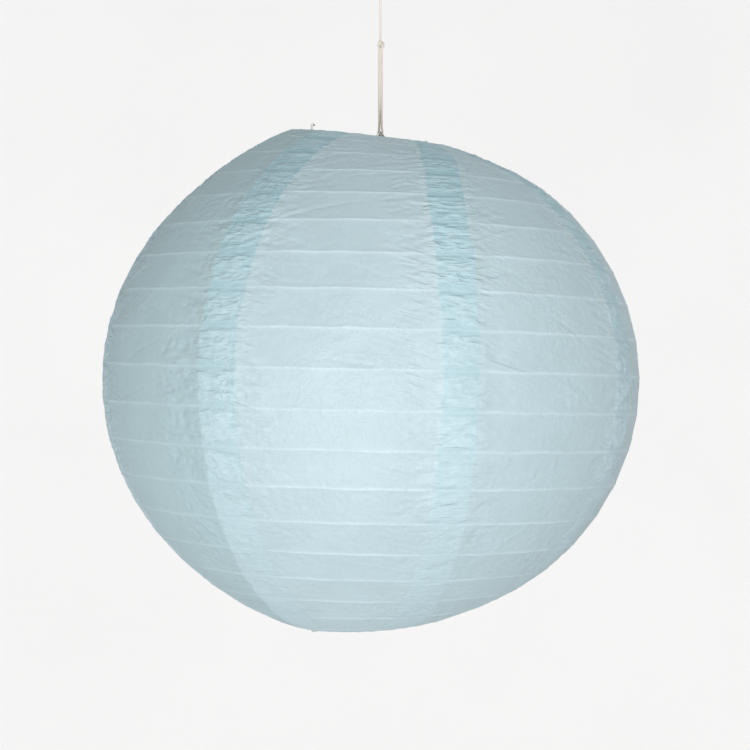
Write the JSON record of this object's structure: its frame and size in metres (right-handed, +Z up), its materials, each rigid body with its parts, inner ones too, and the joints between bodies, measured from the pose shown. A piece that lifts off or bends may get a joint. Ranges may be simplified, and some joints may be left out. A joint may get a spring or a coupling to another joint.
{
  "type": "paper lantern",
  "caption": "Round hanging paper lantern with a spiral wire rib, a wire expander inside and a tied hanging cord; it folds flat by raising its bottom rim.",
  "frame": {"origin": "where a hook bears inside the top loop of the hanging cord", "axes": "+Z up along the cord; +X to the lantern's right and +Y to its back as it is seen"},
  "size_m": [0.4998, 0.5, 0.6267],
  "materials": {
    "paper": "matte",
    "rib_wire": "satin",
    "rim_wire": "satin",
    "frame_wire": "satin",
    "cord": "matte"
  },
  "bodies": {
    "top_loop": {"hanging_loop": "cord", "upper_knot": "cord"},
    "cord": {"hanging_cord": "cord"},
    "sling": {"lower_knot": "cord", "crown_sling": "cord"},
    "lantern": {"expander_crossbar": "frame_wire", "top_ring": "rim_wire", "spiral_rib": "rib_wire", "paper_gore_1": "paper", "paper_gore_2": "paper", "paper_gore_3": "paper", "paper_gore_4": "paper", "paper_gore_5": "paper", "paper_gore_6": "paper", "paper_gore_7": "paper", "paper_gore_8": "paper"},
    "left_leg": {"expander_leg_left": "frame_wire"},
    "right_leg": {"expander_leg_right": "frame_wire"},
    "bottom_rim": {"bottom_ring": "rim_wire"}
  },
  "joints": [
    {"name": "cord_sway", "type": "hinge", "parent": "top_loop", "child": "cord", "pos_m": [0, 0, -0.0302], "axis": [0.7581, 0.6521, 0], "range_deg": [-20, 20]},
    {"name": "cord_twist", "type": "hinge", "parent": "cord", "child": "sling", "pos_m": [0, 0, -0.0731], "axis": [0, 0, 1], "continuous": true},
    {"name": "crown_swing", "type": "hinge", "parent": "sling", "child": "lantern", "pos_m": [0, 0, -0.1598], "axis": [0.7581, 0.6521, 0], "range_deg": [-20, 20]},
    {"name": "collapse", "type": "slide", "parent": "lantern", "child": "bottom_rim", "axis": [0, 0, 1], "range_m": [0, 0.395], "deforming": ["paper_gore_1", "paper_gore_2", "paper_gore_3", "paper_gore_4", "paper_gore_5", "paper_gore_6", "paper_gore_7", "paper_gore_8", "spiral_rib"]},
    {"name": "left_leg_squeeze", "type": "hinge", "parent": "lantern", "child": "left_leg", "pos_m": [-0.05862, -0.05042, -0.18208], "axis": [0.6521, -0.7581, 0], "range_deg": [0, 2.2]},
    {"name": "right_leg_squeeze", "type": "hinge", "parent": "lantern", "child": "right_leg", "pos_m": [0.04066, 0.03497, -0.18673], "axis": [-0.6521, 0.7581, 0], "range_deg": [0, 2.2]}
  ],
  "couplings": [
    {"joint": "left_leg_squeeze", "follows": "collapse", "rad_per_m": 0.088},
    {"joint": "right_leg_squeeze", "follows": "collapse", "rad_per_m": 0.088}
  ]
}
